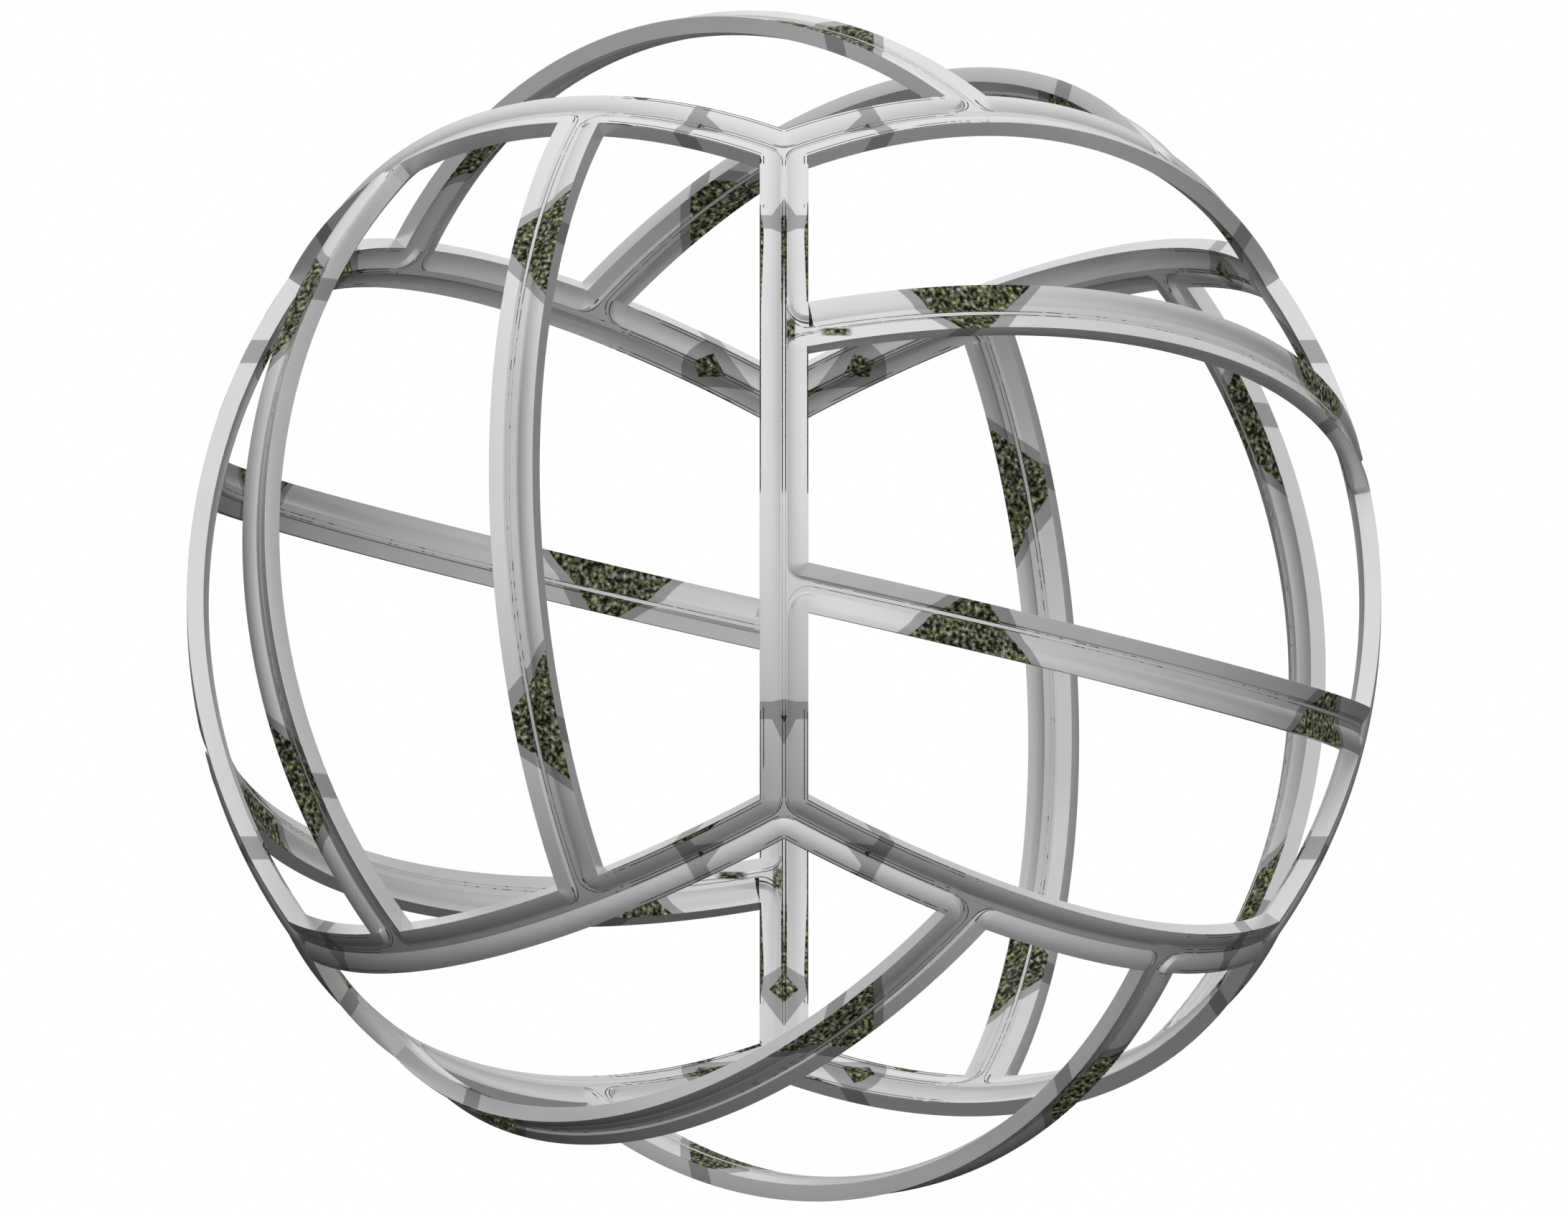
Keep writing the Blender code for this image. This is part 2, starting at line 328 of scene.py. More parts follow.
def middle_window():
    """The middle window of the +X side: its long sides run along Y."""
    wall = math.cos(CROSS_WALL_TILT), math.sin(CROSS_WALL_TILT)
    seam = math.cos(CROSS_SEAM_TILT), math.sin(CROSS_SEAM_TILT)
    upper = Side(X * wall[1] - Z * wall[0], CROSS_INNER_WALL, X * seam[1] - Z * seam[0],
                 INNER_CROWN_WIDTH, Member(Y, Z * wall[0] - X * wall[1], True), flat=True)
    lower = Side(X * wall[1] + Z * wall[0], CROSS_INNER_WALL, X * seam[1] + Z * seam[0],
                 INNER_CROWN_WIDTH, Member(Y, -Z * wall[0] - X * wall[1], True), flat=True)
    sides = [upper, edge_side(X + Y, Z), lower, edge_side(X - Y, Z)]
    return Window(sides, (LONG_SEGMENTS, SHORT_SEGMENTS, LONG_SEGMENTS, SHORT_SEGMENTS))


def side_window():
    """The window of the +X side that lies beside its edge with the +Z side."""
    inner = Side(Z * math.cos(CROSS_WALL_TILT) - X * math.sin(CROSS_WALL_TILT), CROSS_OUTER_WALL,
                 Z * math.cos(CROSS_SEAM_TILT) - X * math.sin(CROSS_SEAM_TILT), CROWN_WIDTH,
                 cross_member())
    sides = [edge_side(X - Z, Y), edge_side(X + Y, Z), inner, edge_side(X - Y, Z)]
    segments = (LONG_SEGMENTS, SHORT_SEGMENTS, LONG_SEGMENTS, SHORT_SEGMENTS)
    return Window(sides, segments, creased=(1, 2))


# ---- Meshes ----

class Skin:
    """A mesh in the making, whose face corners carry the grain coordinates and the coordinates of
    the painted reflections.

    Its filling says how readily the painted reflection lines on its outside are filled.
    """

    def __init__(self, filling):
        self.filling = filling
        self.bm = bmesh.new()
        self.layers = self.bm.loops.layers.float_vector
        for name in ("grain", "mottle", "band", "lines"):
            self.layers.new(name)

    def ring(self, points):
        return [self.bm.verts.new(point) for point in points]

    def face(self, verts, member, surface, reflections_painted=True, rims=None):
        """A face; rims are the distances of its corners from where a painted reflection line may
        run.
        """
        face = self.bm.faces.new(verts)
        for k, corner in enumerate(face.loops):
            point = corner.vert.co
            grain, mottle, band, lines = (0.0, 0.0, 0.0), NO_PAINTED_REFLECTION, NO_PAINTED_REFLECTION, NO_LINE
            if member:
                grain = member.grain(point)
                if reflections_painted:
                    mottle, band = member.painted_reflections(point, surface)
            if rims and member:
                lines = member.lines(point, rims[k], surface, self.filling)
            elif rims:
                lines = (rims[k], CORNER_LINE_STRENGTH, NEVER_FILLED)
            for layer, value in zip(self.layers.values(), (grain, mottle, band, lines)):
                corner[layer] = value
        return face

    def paint_reflection_strip(self, face):
        """Let the mottled strips of painted reflection on the two upright members cover a face."""
        for corner in face.loops:
            corner[self.layers["lines"]] = (LINE_PLACE, 0.0, 0.0)

    def finish(self, name):
        bmesh.ops.remove_doubles(self.bm, verts=self.bm.verts, dist=SAME_POINT)
        bmesh.ops.recalc_face_normals(self.bm, faces=self.bm.faces)
        mesh = bpy.data.meshes.new(name)
        self.bm.to_mesh(mesh)
        self.bm.free()
        mesh.shade_smooth()
        mesh.set_sharp_from_angle(angle=SHARP_ANGLE)
        return mesh


def frame_profile():
    """Stations across a frame with the rounding there: rounded edge, lip, crown, ledge."""
    profile = []
    for turn in (0.0, 0.5, 1.0):
        angle = turn * math.pi / 2
        station = EDGE_ROUND * (1.0 - math.cos(angle)) / CROWN_WIDTH
        profile.append((station, EDGE_ROUND * (1.0 - math.sin(angle))))
    for i in range(CROWN_SEGMENTS + 1):
        profile.append((FLAT_LIP + (1.0 - FLAT_LIP) * i / CROWN_SEGMENTS, 0.0))
    profile.append((2.0, 0.0))
    return profile


def crown_end_rim(station):
    """Distance from the rim of a painted reflection line, for one that runs round a corner's crown
    end.
    """
    return LINE_PLACE + min(CORNER_LINE_REACH, CROWN_WIDTH * abs(station - 1.0))


def frame_mesh(window, name):
    """A window's frame: crowned outside, flat against the window, the same depth all over.

    Each row of its section has a station, a radius and the surface that starts there.
    """
    clearance = SPINE_HALF_WIDTH + CLOSE_GAP
    profile = frame_profile()
    rows = [(station, OUTER_RADIUS - rounding, "outside") for station, rounding in profile]
    rows[-1] = (*rows[-1][:2], "seam")
    rows += [(station, OUTER_RADIUS - THICKNESS + rounding, "inside")
             for station, rounding in reversed(profile)]
    rows[-1] = (*rows[-1][:2], "wall")
    skin = Skin(FRAME_FILLING)
    rings = [skin.ring(window.loop(station, radius, clearance)) for station, radius, _ in rows]
    owners, creases = window.owners(), window.creases()
    for k, ring in enumerate(rings):
        other = (k + 1) % len(rings)
        surface = rows[k][2]
        here, there = (rows[index][0] * CROWN_WIDTH for index in (k, other))
        for i, member in enumerate(owners):
            j = (i + 1) % len(ring)
            verts = (ring[i], ring[j], rings[other][j], rings[other][i])
            rims = None
            if not member and surface != "wall":
                rims = [crown_end_rim(rows[row][0]) for row in (k, k, other, other)]
            elif surface in ("outside", "inside") and not member.is_cross:
                rims = (here, here, there, there)
            face = skin.face(verts, member, surface, rims=rims)
            # The creased corners carry the mottled strips of painted reflection
            if i in creases and surface in ("outside", "inside"):
                skin.paint_reflection_strip(face)
    return skin.finish(name)


def spine_stations(width):
    """Shares across a spine with the cut there: flat, with a fine groove along each border."""
    near = [(0.0, 0.0), (GROOVE_PLACE - GROOVE_HALF_WIDTH, 0.0), (GROOVE_PLACE, GROOVE_CUT),
            (GROOVE_PLACE + GROOVE_HALF_WIDTH, 0.0)]
    left = [(place / width, cut) for place, cut in near]
    start, end = left[-1][0], 1.0 - left[-1][0]
    between = [(start + (end - start) * i / SPINE_SEGMENTS, 0.0) for i in range(1, SPINE_SEGMENTS)]
    right = [(1.0 - share, cut) for share, cut in reversed(left)]
    return left + between + right


def across_points(left, right, radius, cut_sign):
    """Points from one border of a spine to the other, at a distance from the centre."""
    points = []
    for share, cut in spine_stations((right - left).length):
        points.append(left.lerp(right, share).normalized() * (radius + cut_sign * cut))
    return points


def groove_rim(place, middle):
    """Distance from a line's rim at a place across a spine, so that the line fills the groove."""
    groove = middle - GROOVE_STATION
    steps = abs(abs(place - middle) - groove)
    return LINE_PLACE + GROOVE_HALF_WIDTH * steps * steps


def bar_mesh(left, right, member, name):
    """A flat grooved bar between two lines of points, each given at both radii."""
    skin = Skin(SPINE_FILLING)
    rings = []
    for lo, ro, ri, li in zip(left[0], right[0], right[1], left[1]):
        points = across_points(lo, ro, SEAM_RADII[0], -1) + across_points(ri, li, SEAM_RADII[1], 1)
        rings.append(skin.ring(points))
    half = len(rings[0]) // 2
    middle = (half - 1) / 2
    for ring, following in zip(rings, rings[1:]):
        for i in range(len(ring)):
            j = (i + 1) % len(ring)
            surface = "outside" if i < half else "inside"
            # On a cross spine the painted reflections stay off the strip between the grooves
            reflections_painted = not member.is_cross or abs(i % half + 0.5 - middle) > middle - GROOVE_STATION
            rims = [groove_rim(k % half, middle) for k in (i, j, j, i)]
            skin.face((ring[i], ring[j], following[j], following[i]), member, surface,
                      reflections_painted, rims)
    skin.face(rings[0], None, "seam")
    skin.face(rings[-1], None, "seam")
    return skin.finish(name)


def edge_spine_mesh():
    """The spine between the +X and +Z sides, from corner star to corner star."""
    normal = (X - Z).normalized()
    window = side_window()
    stops = [i / LONG_SEGMENTS for i in range(LONG_SEGMENTS + 1)]
    left, right = [], []
    for radius in SEAM_RADII:
        run = window.side_run(0, 2.0, radius, SPINE_HALF_WIDTH, stops)
        shorten = CLOSE_GAP / radius
        run[0] = run[0].lerp(run[1], shorten * LONG_SEGMENTS)
        run[-1] = run[-1].lerp(run[-2], shorten * LONG_SEGMENTS)
        left.append([on_plane(point, normal, SPINE_HALF_WIDTH, radius) for point in run])
        right.append([on_plane(point, normal, -SPINE_HALF_WIDTH, radius) for point in run])
    return bar_mesh(left, right, Member(Y, normal, False), "edge_spine")


def end_on_edge(point, towards, radius):
    """The point moved against the flank of the edge spine that lies that way."""
    normal = (X - towards).normalized()
    return on_plane(point, normal, SPINE_HALF_WIDTH + CLOSE_GAP, radius)


def cross_spine_mesh():
    """The spine between the middle and upper windows of the +X side, flared at both ends."""
    lower, upper = middle_window(), side_window()
    flare = [i / CORNER_SEGMENTS for i in range(1, CORNER_SEGMENTS)]
    run = [i / LONG_SEGMENTS for i in range(LONG_SEGMENTS + 1)]
    lines = []
    for window, long_side in ((lower, 0), (upper, 2)):
        radii = []
        for radius in SEAM_RADII:
            before = window.corner_arc((long_side - 1) % 4, 2.0, radius, SPINE_HALF_WIDTH, flare)
            along = window.side_run(long_side, 2.0, radius, SPINE_HALF_WIDTH, run)
            after = window.corner_arc(long_side, 2.0, radius, SPINE_HALF_WIDTH, flare)
            points = before + along + after
            if points[0].y > 0:
                points.reverse()
            ends = [end_on_edge(points[0], -Y, radius), end_on_edge(points[-1], Y, radius)]
            radii.append([ends[0]] + points + [ends[1]])
        lines.append(radii)
    return bar_mesh(lines[0], lines[1], cross_member(), "cross_spine")


def corner_star_mesh():
    """The three-armed piece where the edge spines of the +X, +Y and +Z sides meet."""
    window = side_window()
    turn = Matrix(((0, 0, 1), (1, 0, 0), (0, 1, 0)))
    count = 2 * CORNER_SEGMENTS
    stops = [i / count for i in range(count + 1)]
    index = next(i for i in range(4) if window.corner(i, OUTER_RADIUS).y > 0
                 and window.corner(i, OUTER_RADIUS).z > 0.5 * OUTER_RADIUS)
    hub = (X + Y + Z).normalized()
    skin = Skin(SPINE_FILLING)
    patches = []
    for radius, cut_sign in zip(SEAM_RADII, (-1, 1)):
        outline = window.corner_arc(index, 2.0, radius, SPINE_HALF_WIDTH, stops)
        patches.append(star_patch(outline, hub, radius, cut_sign))
    for spin in (Matrix.Identity(3), turn, turn @ turn):
        borders = []
        for patch in patches:
            rows = [skin.ring([spin @ point for point in row]) for row in patch]
            borders.append(rows)
            for at, (row, following) in enumerate(zip(rows, rows[1:])):
                rims = [groove_rim(k, STAR_MIDDLE) for k in (at, at, at + 1, at + 1)]
                for i in range(len(row) - 1):
                    verts = (row[i], row[i + 1], following[i + 1], following[i])
                    skin.face(verts, None, "seam", rims=rims)
        for outer, inner in ([b[0] for b in borders], *end_pairs(borders)):
            for i in range(len(outer) - 1):
                skin.face((outer[i], outer[i + 1], inner[i + 1], inner[i]), None, "seam")
    return skin.finish("corner_star")


def star_patch(outline, hub, radius, cut_sign):
    """Rows of points from a window's outline to the middle lines of the two arms beside it."""
    ends = [middle_of_arm(point, hub) * radius for point in (outline[0], outline[-1])]
    last = len(outline) - 1
    columns = []
    for i, point in enumerate(outline):
        towards_hub = 1.0 - abs(2.0 * i / last - 1.0)
        end = ends[0] if 2 * i <= last else ends[1]
        middle = end.lerp(hub * radius, towards_hub).normalized() * radius
        mirrored = middle + (middle - point)
        stations = spine_stations((mirrored - point).length)
        half = stations[:len(stations) // 2 + 1]
        columns.append([point.lerp(mirrored, share).normalized() * (radius + cut_sign * cut)
                        for share, cut in half])
    return [list(row) for row in zip(*columns)]


def middle_of_arm(point, hub):
    """Direction of the middle of an arm's end, given one of its two end points."""
    planes = [(X - Z).normalized(), (X - Y).normalized(), (Y - Z).normalized()]
    normal = min(planes, key=lambda n: abs(point.dot(n)))
    return (point - normal * point.dot(normal)).normalized()


def end_pairs(borders):
    """The outer and inner lines across each end of a patch, between which its end face lies."""
    outer, inner = borders
    return [([row[k] for row in outer], [row[k] for row in inner]) for k in (0, -1)]


# ---- Materials ----

# Metals: tint and roughness before grain and painted reflections
FRAME_STEEL = (0.865, 0.862, 0.868), 0.27
SPINE_STEEL = (0.860, 0.857, 0.863), 0.28
STAR_STEEL = (0.862, 0.859, 0.865), 0.275
# The grey bands are painted reflections; the smears are the steel's own uneven tone
SMEAR_TINT, BAND_TINT = 0.97, 0.52   # how much of the clean tint is left in smears and grey bands
CLEAN_METAL = 0.92                   # the rest is a thin dull film that also catches the rear lamp
MOTTLED_METAL_LOSS = 0.84
CLEAN_SPECULAR, MOTTLED_SPECULAR_LOSS = 0.5, 0.4
GRAIN_ROUGHNESS, MOTTLED_ROUGHNESS = 0.05, 0.25
GRAIN_HEIGHT, RELIEF_STRENGTH, RELIEF_DISTANCE = 0.25, 0.05, 0.0001

# Noise: cycles per metre and detail. The grain runs along a member, so it is far finer across it.
GRAIN_CYCLES = (6.0, 900.0, 1.0)
GRAIN_DETAIL = 3.0
SMEARS, BLOTCHES, HUES, SPECKS = (6.0, 3.0), (145.0, 1.5), (120.0, 0.0), (330.0, 1.0)
RUNS, DASHES = (11.0, 1.0), (70.0, 1.0)
SMEAR_LEVELS, HUE_LEVELS, SPECK_LEVELS = (0.35, 0.65), (0.40, 0.60), (0.46, 0.64)
PIECE_SHIFT = 9.0                    # how far apart the pieces lie in the noise

# Mottled patches of painted reflection: colour by the level of the blotches, then tinted olive or
# grey
PAINTED_REFLECTION_COLOURS = ((0.38, (0.010, 0.011, 0.007)), (0.46, (0.078, 0.081, 0.053)),
                  (0.55, (0.185, 0.193, 0.132)), (0.63, (0.335, 0.345, 0.265)),
                  (0.72, (0.660, 0.670, 0.590)))
OLIVE, GREY = (1.00, 1.03, 0.66, 1.0), (0.98, 0.99, 1.08, 1.0)
# Near-black and olive colours of the painted reflection lines
LINE_DARK, LINE_OLIVE = (0.020, 0.021, 0.016, 1.0), (0.130, 0.134, 0.080, 1.0)
MOTTLE_BORDER, BAND_BORDER = (-0.0008, 0.0012), (-0.0010, 0.0010)    # radii from out to in

# Painted reflection lines, in metres
LINE_HALF_WIDTH = 0.0007
FAR_LINE_PLACE = 0.0060              # from the rim to a second line, and the width of a strip
STRIP_BORDER, STRIP_STARTS = 0.0003, (0.0003, 0.0008)
SECOND_RUNS = (0.38, 0.44)           # levels of the noise from which a second line is drawn
DASH_LEVELS, FILLED_LEVELS, FILLED_STRENGTHS = (1.05, 1.15), (0.97, 1.09), (0.5, 0.7)
STRIP_STRENGTH = 3.0                 # makes a strip's border line whole
NO_SECOND_WIDTHS = (0.10, 0.02)      # strip widths beside which a second line fades in
ON_EDGE_MEMBER = -0.5                # filling above which a line is one of an edge member's own

# On the upright edge members at the front right and rear left the painted reflection lines widen
# into mottled strips.
# Heights are in radii, upwards at the front right and downwards at the rear left.
STRIP_WIDTHS = ((-0.09, 0.00), (-0.06, 0.30), (0.26, 0.36), (0.385, 1.00), (0.405, 1.00),
                (0.455, 0.00))
CLEAN_STRETCHES = ((-0.43, 0.0), (-0.41, 1.0), (-0.09, 1.0), (-0.07, 0.0),
                   (0.455, 0.0), (0.465, 1.0), (0.535, 1.0), (0.545, 0.0))
UPRIGHT_SPAN = 1.2                   # radii of height that these levels cover
UPRIGHT_REACH = 0.045                # metres to both sides of their seams
# Small mottled blots of painted reflection beside them: their middle and half size, sideways and in
# height, in metres
BLOTS = ((0.0100, 0.0065, 0.1990, 0.0180), (0.0790, 0.0200, 0.1945, 0.0065))
SOFTNESS = 0.35                      # of a line's or blot's half size, both ways from its border


class Nodes:
    """Short calls for building a node tree."""

    def __init__(self, tree):
        self.tree = tree

    def node(self, kind, inputs=None, **settings):
        node = self.tree.nodes.new(kind)
        for name, value in settings.items():
            setattr(node, name, value)
        for socket, value in (inputs or {}).items():
            self.plug(node.inputs[socket], value)
        return node

    def plug(self, socket, value):
        if isinstance(value, bpy.types.NodeSocket):
            self.tree.links.new(value, socket)
        else:
            socket.default_value = value

    def math(self, operation, first, second=0.0, third=0.0):
        inputs = {0: first, 1: second, 2: third}
        return self.node("ShaderNodeMath", inputs, operation=operation).outputs[0]

    def vector(self, operation, first, second):
        return self.node("ShaderNodeVectorMath", {0: first, 1: second}, operation=operation)

    def along(self, vector, axis):
        """Component of a vector along an axis."""
        return self.vector("DOT_PRODUCT", vector, axis.normalized()).outputs["Value"]

    def mix(self, factor, first, second):
        node = self.node("ShaderNodeMix", data_type="RGBA")
        for socket, value in ((0, factor), (6, first), (7, second)):
            self.plug(node.inputs[socket], value)
        return node.outputs[2]

    def colours(self, value, stops):
        """Colours blended between the places given for them."""
        node = self.node("ShaderNodeValToRGB", {"Fac": value})
        ramp = node.color_ramp
        while len(ramp.elements) < len(stops):
            ramp.elements.new(1.0)
        for element, (place, colour) in zip(ramp.elements, stops):
            element.position = place
            element.color = (*colour, 1.0)
        return node.outputs["Color"]

    def levels(self, height, span, stops):
        """A level that runs straight between stops by height, within a span centred on 0."""
        place = self.math("MULTIPLY_ADD", height, 1.0 / span, 0.5)
        return self.colours(place, [(stop / span + 0.5, (level,) * 3) for stop, level in stops])


class Shader(Nodes):
    """A new material and short calls for building its nodes."""

    def __init__(self, name):
        self.material = bpy.data.materials.new(name)
        self.material.use_nodes = True
        super().__init__(self.material.node_tree)
        self.principled = self.tree.nodes["Principled BSDF"]

    def ramp(self, value, low, high):
        """0 at the low end and below, 1 at the high end and above, and smooth between."""
        inputs = {"Value": value, "From Min": low, "From Max": high}
        node = self.node("ShaderNodeMapRange", inputs, interpolation_type="SMOOTHSTEP")
        return node.outputs["Result"]

    def noise(self, vector, scale, detail):
        node = self.node("ShaderNodeTexNoise", {"Vector": vector, "Scale": scale, "Detail": detail})
        return node.outputs["Fac"]

    def attribute(self, name):
        return self.node("ShaderNodeAttribute", attribute_name=name).outputs["Vector"]

    def split(self, name):
        return self.node("ShaderNodeSeparateXYZ", {0: self.attribute(name)}).outputs

    def near(self, value, centre, half_width):
        """1 within a half width of the centre, falling off softly outside it."""
        off = self.math("ABSOLUTE", self.math("SUBTRACT", value, centre))
        return self.ramp(off, (1.0 + SOFTNESS) * half_width, (1.0 - SOFTNESS) * half_width)

    def inside(self, name, border):
        """1 inside both borders of a painted reflection, and 0 outside them."""
        ends = self.split(name)
        return self.ramp(self.math("MINIMUM", ends["X"], ends["Y"]), *border)


def varied_place(shader):
    """A point's own coordinates on its piece, shifted by an amount that differs by piece."""
    own = shader.node("ShaderNodeTexCoord").outputs["Object"]
    number = shader.node("ShaderNodeObjectInfo").outputs["Random"]
    return shader.vector("ADD", own, shader.math("MULTIPLY", number, PIECE_SHIFT)).outputs["Vector"]


def upright_painted_reflections(shader, centre):
    """Painted reflections on two upright edge members: the strips' width, where no lines run, and
    the blots.
    """
    position = shader.node("ShaderNodeNewGeometry").outputs["Position"]
    from_centre = shader.vector("SUBTRACT", position, centre).outputs["Vector"]
    outward, beside, height = (shader.along(from_centre, axis) for axis in (X - Y, X + Y, Z))
    reach = shader.math("LESS_THAN", shader.math("ABSOLUTE", beside), UPRIGHT_REACH)
    which = shader.math("SIGN", outward)
    height, beside = (shader.math("MULTIPLY", value, which) for value in (height, beside))
    span = UPRIGHT_SPAN * OUTER_RADIUS
    width, clean = (
        shader.math("MULTIPLY", reach, shader.levels(
            height, span, [(stop * OUTER_RADIUS, level) for stop, level in stops]))
        for stops in (STRIP_WIDTHS, CLEAN_STRETCHES))
    blots = 0.0
    for middle, half_width, level, half_height in BLOTS:
        blot = shader.math("MULTIPLY", shader.near(beside, middle, half_width),
                           shader.near(height, level, half_height))
        blots = shader.math("MAXIMUM", blots, blot)
    return width, clean, blots


def painted_reflection_lines(shader, place, centre):
    """Painted reflections: fine dark lines along walls and grooves, and the mottled strips they
    spread into.
    """
    rim, strength, filling = shader.split("lines")
    upright_width, clean, blots = upright_painted_reflections(shader, centre)
    run = shader.noise(place, *RUNS)

    beside_wall = shader.near(rim, LINE_PLACE, LINE_HALF_WIDTH)
    second = shader.math("MULTIPLY", shader.near(rim, FAR_LINE_PLACE, LINE_HALF_WIDTH),
                         shader.ramp(run, *SECOND_RUNS))
    second = shader.math("MULTIPLY", second, shader.ramp(upright_width, *NO_SECOND_WIDTHS))
    drawn = shader.math("MAXIMUM", beside_wall, second)

    on_edge_member = shader.math("GREATER_THAN", filling, ON_EDGE_MEMBER)
    upright_width = shader.math("MULTIPLY", upright_width, on_edge_member)
    line_strength = shader.math("MULTIPLY_ADD", upright_width, STRIP_STRENGTH, strength)
    line_strength = shader.math("SUBTRACT", line_strength, clean)
    dashes = shader.math("ADD", shader.noise(place, *DASHES), line_strength)
    dashes = shader.ramp(dashes, *DASH_LEVELS)

    filled = shader.ramp(shader.math("ADD", run, filling), *FILLED_LEVELS)
    filled = shader.math("MULTIPLY", filled, shader.ramp(strength, *FILLED_STRENGTHS))
    width = shader.math("SUBTRACT", shader.math("MAXIMUM", filled, upright_width), clean)
    width = shader.math("MULTIPLY", width, FAR_LINE_PLACE)
    past_strip = shader.math("SUBTRACT", rim, width)
    strip = shader.math("MULTIPLY", shader.ramp(past_strip, STRIP_BORDER, -STRIP_BORDER),
                        shader.ramp(width, *STRIP_STARTS))
    return shader.math("MULTIPLY", drawn, dashes), shader.math("MAXIMUM", strip, blots)


def painted_reflection_colour(shader, place, blotch):
    """Colour of a painted reflection's mottled patch: dark blotches that turn from olive to grey."""
    levels = shader.colours(blotch, PAINTED_REFLECTION_COLOURS)
    hue = shader.ramp(shader.noise(place, *HUES), *HUE_LEVELS)
    return shader.vector("MULTIPLY", levels, shader.mix(hue, OLIVE, GREY)).outputs["Vector"]


def shade_of(tint, share):
    return (*(share * level for level in tint), 1.0)


def steel(name, metal, centre):
    """Polished steel with fine grain, and painted reflections as grey bands, mottled patches and
    dark lines.
    """
    tint, roughness = metal
    shader = Shader(name)
    place = varied_place(shader)
    grain_place = shader.vector("MULTIPLY", shader.attribute("grain"), GRAIN_CYCLES)
    grain = shader.noise(grain_place.outputs["Vector"], 1.0, GRAIN_DETAIL)
    blotch = shader.noise(place, *BLOTCHES)
    lined, strip = painted_reflection_lines(shader, place, centre)
    # Mottled patches, strips and lines: painted reflections, also made duller and rougher
    patch = shader.math("MAXIMUM", shader.inside("mottle", MOTTLE_BORDER), strip)
    mottled = shader.math("MAXIMUM", patch, lined)

    smears = shader.ramp(shader.noise(place, *SMEARS), *SMEAR_LEVELS)
    clean = shader.mix(smears, shade_of(tint, SMEAR_TINT), shade_of(tint, 1.0))
    # Grey bands: painted reflection that darkens the tint
    greyed = shader.mix(shader.inside("band", BAND_BORDER), clean, shade_of(tint, BAND_TINT))
    patched = shader.mix(patch, greyed, painted_reflection_colour(shader, place, blotch))
    specks = shader.ramp(shader.noise(place, *SPECKS), *SPECK_LEVELS)
    line = shader.mix(specks, LINE_DARK, LINE_OLIVE)

    rough = shader.math("MULTIPLY_ADD", grain, GRAIN_ROUGHNESS, roughness)
    relief = shader.math("MULTIPLY_ADD", grain, GRAIN_HEIGHT,
                         shader.math("MULTIPLY", blotch, mottled))
    bump = shader.node("ShaderNodeBump", {"Height": relief, "Strength": RELIEF_STRENGTH,
                                          "Distance": RELIEF_DISTANCE})
    surface = {
        "Base Color": shader.mix(lined, patched, line),
        "Metallic": shader.math("MULTIPLY_ADD", mottled, -MOTTLED_METAL_LOSS, CLEAN_METAL),
        "Specular IOR Level": shader.math("MULTIPLY_ADD", mottled, -MOTTLED_SPECULAR_LOSS,
                                          CLEAN_SPECULAR),
        "Roughness": shader.math("MULTIPLY_ADD", mottled, MOTTLED_ROUGHNESS, rough),
        "Normal": bump.outputs["Normal"],
    }
    for socket, value in surface.items():
        shader.plug(shader.principled.inputs[socket], value)
    return shader.material


# ---- Placing the pieces ----

def side_name(direction):
    names = ((X, "right"), (-X, "left"), (Y, "rear"), (-Y, "front"), (Z, "top"), (-Z, "bottom"))
    return max(names, key=lambda entry: entry[0].dot(direction))[1]


def orientations():
    """The twelve turns that carry the +X side of the sphere onto each side, two for every side."""
    turns = []
    for images in ((X, Y, Z), (Y, Z, X), (Z, X, Y)):
        for signs in ((1, 1, 1), (1, -1, -1), (-1, 1, -1), (-1, -1, 1)):
            columns = [image * sign for image, sign in zip(images, signs)]
            turns.append(Matrix(columns).transposed())
    return turns


def corner_turns():
    """The eight turns that carry the corner at +X +Y +Z onto each corner."""
    turns = []
    for tip in (Matrix.Identity(3), Matrix.Rotation(math.radians(-90), 3, "X")):
        turns += [Matrix.Rotation(math.radians(90 * quarter), 3, "Z") @ tip for quarter in range(4)]
    return turns


def place_piece(mesh, node, turn, centre, material, slot):
    """A turned copy of a mesh round the sphere's centre, standing for a CAD node."""
    piece = bpy.data.objects.new("steel_" + node, mesh)
    piece.matrix_world = Matrix.Translation(centre) @ turn.to_4x4()
    if not mesh.materials:
        mesh.materials.append(material)
    bpy.context.scene.collection.objects.link(piece)
    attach(piece, "root")
    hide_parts(node)


def build_globe(centre):
    """All fifty pieces, in place round the sphere's centre."""
    frame_look = steel("polished_frame_steel", FRAME_STEEL, centre), "frame_steel"
    spine_look = steel("brushed_spine_steel", SPINE_STEEL, centre), "spine_steel"
    star_look = steel("brushed_star_steel", STAR_STEEL, centre), "star_steel"
    middle_frame = frame_mesh(middle_window(), "middle_frame")
    side_frame = frame_mesh(side_window(), "side_frame")
    edge_spine, cross_spine = edge_spine_mesh(), cross_spine_mesh()
    corner_star = corner_star_mesh()
    for number, turn in enumerate(orientations()):
        face, beside = side_name(turn @ X), side_name(turn @ Z)
        if number % 2 == 0:  # a side's second turn would lay the same middle frame there again
            place_piece(middle_frame, f"middle_frame_{face}", turn, centre, *frame_look)
        place_piece(side_frame, f"side_frame_{face}_{beside}", turn, centre, *frame_look)
        place_piece(edge_spine, f"edge_spine_{face}_{beside}", turn, centre, *spine_look)
        place_piece(cross_spine, f"cross_spine_{face}_{beside}", turn, centre, *spine_look)
    for turn in corner_turns():
        corner = turn @ (X + Y + Z)
        sides = (side_name(axis * corner.dot(axis)) for axis in (X, Y, Z))
        place_piece(corner_star, "_".join(("corner_star", *sides)), turn, centre, *star_look)


# ---- Studio ----

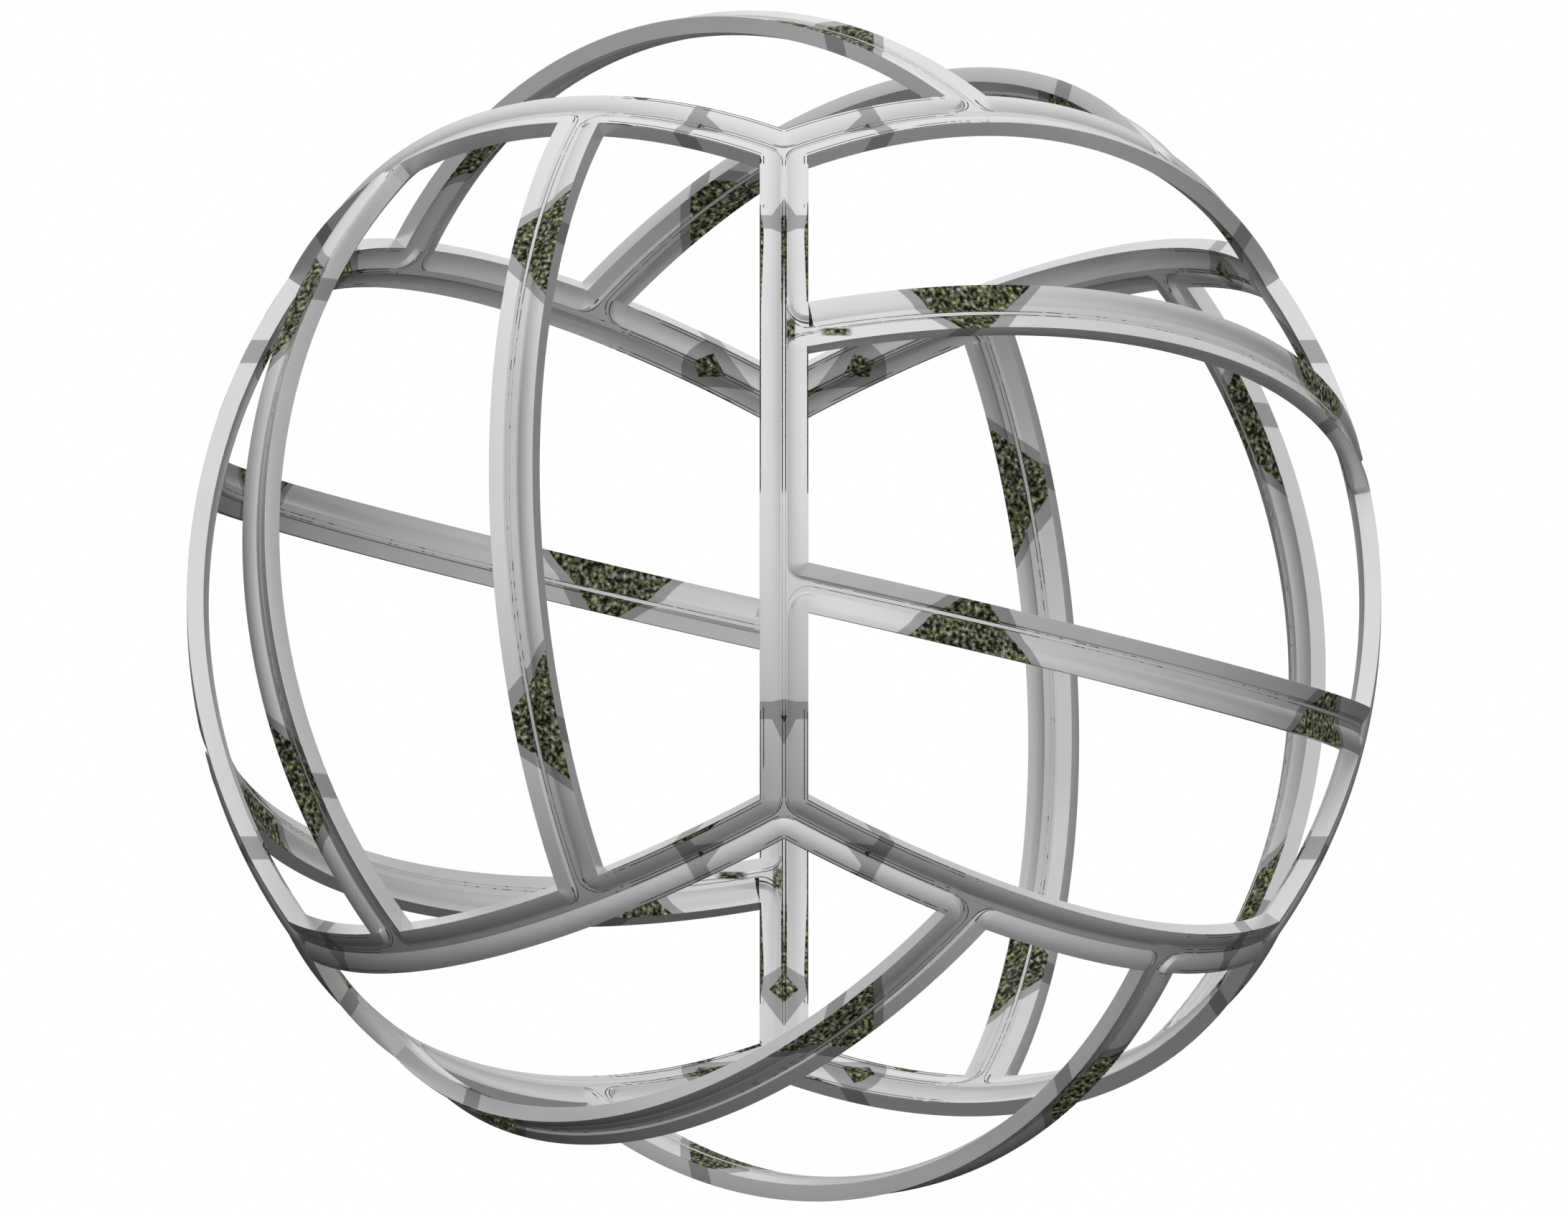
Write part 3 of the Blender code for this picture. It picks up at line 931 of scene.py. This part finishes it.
# The photograph's view: from the front right, a little below the middle of the sphere
VIEW_AZIMUTH = math.radians(45.0)
VIEW_ELEVATION = math.radians(-15.0)
VIEW_WIDTH = 2.362
VIEW_DISTANCE = 6.0

FLOOR_RADIUS = 14.0
FLOOR_CORNERS = 96
FLOOR_COLOUR, FLOOR_ROUGHNESS = (0.86, 0.86, 0.85, 1.0), 0.9

# Light by the height of its direction, from -1 straight below to 1 straight above
FRONT_LIGHT = ((-0.95, 0.33), (-0.60, 0.51), (-0.38, 0.60), (-0.13, 0.68), (0.12, 0.78),
               (1.00, 0.80))
BACK_LIGHT = ((0.05, 0.02), (0.25, 0.11), (0.45, 0.38), (0.62, 0.70), (0.80, 0.80))
HEIGHT_SPAN = 2.0
LIGHT_STRENGTH = 1.16
SIDE_DIMMING = 0.60          # of the light from above, towards both sides
RIGHT_GAIN = 0.05            # added towards the right below the horizon
RIGHT_LOSS = 0.12            # and taken away again with height above it
WHITE = (1.0, 1.0, 1.0, 1.0)
REAR_LAMP_POWER = 3.4
REAR_LAMP_SPREAD = math.radians(40)


def build_floor():
    """A pale floor that shows from above only, so that a view from below passes through it."""
    bpy.ops.mesh.primitive_circle_add(vertices=FLOOR_CORNERS, radius=FLOOR_RADIUS,
                                      fill_type="NGON")
    floor = bpy.context.object
    floor.name = "floor"
    shader = Shader("pale_floor")
    shader.plug(shader.principled.inputs["Base Color"], FLOOR_COLOUR)
    shader.plug(shader.principled.inputs["Roughness"], FLOOR_ROUGHNESS)
    below = shader.node("ShaderNodeNewGeometry").outputs["Backfacing"]
    clear = shader.node("ShaderNodeBsdfTransparent").outputs[0]
    mix = shader.node("ShaderNodeMixShader", {0: below, 1: shader.principled.outputs[0], 2: clear})
    shader.plug(shader.tree.nodes["Material Output"].inputs["Surface"], mix.outputs[0])
    floor.data.materials.append(shader.material)
    floor.visible_glossy = False
    floor.visible_diffuse = False


def build_light():
    """Soft light by direction: full in front, from above only behind, less from the sides."""
    world = bpy.data.worlds.new("studio")
    bpy.context.scene.world = world
    world.use_nodes = True
    world.node_tree.nodes.clear()
    sky = Nodes(world.node_tree)
    direction = sky.node("ShaderNodeTexCoord").outputs["Generated"]
    right = Vector((math.cos(VIEW_AZIMUTH), math.sin(VIEW_AZIMUTH), 0.0))
    height, side, forward = (sky.along(direction, axis) for axis in (Z, right, right.cross(Z)))
    front, back = (sky.levels(height, HEIGHT_SPAN, stops) for stops in (FRONT_LIGHT, BACK_LIGHT))
    level = sky.mix(sky.math("MULTIPLY_ADD", forward, 0.5, 0.5), back, front)
    above = sky.math("MAXIMUM", height, 0.0)
    sideways = sky.math("MULTIPLY", sky.math("MULTIPLY", side, side), above)
    level = sky.math("MULTIPLY_ADD", sideways, -SIDE_DIMMING, level)
    gain = sky.math("MULTIPLY_ADD", above, -RIGHT_LOSS, RIGHT_GAIN)
    level = sky.math("MULTIPLY_ADD", side, gain, level)
    soft = sky.node("ShaderNodeBackground", {"Color": level, "Strength": LIGHT_STRENGTH})
    white = sky.node("ShaderNodeBackground", {"Color": WHITE})
    seen = sky.node("ShaderNodeLightPath").outputs["Is Camera Ray"]
    mix = sky.node("ShaderNodeMixShader", {0: seen, 1: soft.outputs[0], 2: white.outputs[0]})
    sky.node("ShaderNodeOutputWorld", {"Surface": mix.outputs[0]})


def build_rear_lamp():
    """A soft lamp straight opposite the camera, so that views from behind aren't left dark."""
    data = bpy.data.lights.new("rear_lamp", "SUN")
    data.energy = REAR_LAMP_POWER
    data.angle = REAR_LAMP_SPREAD
    lamp = bpy.data.objects.new("rear_lamp", data)
    lamp.rotation_euler = (-towards_camera()).to_track_quat("Z", "Y").to_euler()
    lamp.visible_glossy = False
    bpy.context.scene.collection.objects.link(lamp)


def towards_camera():
    level = math.cos(VIEW_ELEVATION)
    return Vector((math.sin(VIEW_AZIMUTH) * level, -math.cos(VIEW_AZIMUTH) * level,
                   math.sin(VIEW_ELEVATION)))


def build_camera(centre):
    back = towards_camera()
    data = bpy.data.cameras.new("camera")
    data.type = "ORTHO"
    data.ortho_scale = VIEW_WIDTH
    data.dof.use_dof = False
    camera = bpy.data.objects.new("camera", data)
    camera.location = centre + back * VIEW_DISTANCE
    camera.rotation_euler = back.to_track_quat("Z", "Y").to_euler()
    bpy.context.scene.collection.objects.link(camera)
    bpy.context.scene.camera = camera


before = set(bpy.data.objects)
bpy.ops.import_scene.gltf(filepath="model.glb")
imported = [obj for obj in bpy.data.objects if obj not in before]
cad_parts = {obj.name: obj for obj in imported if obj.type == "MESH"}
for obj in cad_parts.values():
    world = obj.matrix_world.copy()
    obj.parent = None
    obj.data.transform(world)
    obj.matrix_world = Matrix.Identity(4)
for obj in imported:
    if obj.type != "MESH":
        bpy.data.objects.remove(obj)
cad_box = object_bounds()
sphere_centre = (cad_box[0] + cad_box[1]) / 2
build_globe(sphere_centre)
build_floor()
build_light()
build_rear_lamp()
build_camera(sphere_centre)
bpy.context.scene.view_settings.view_transform = "Standard"
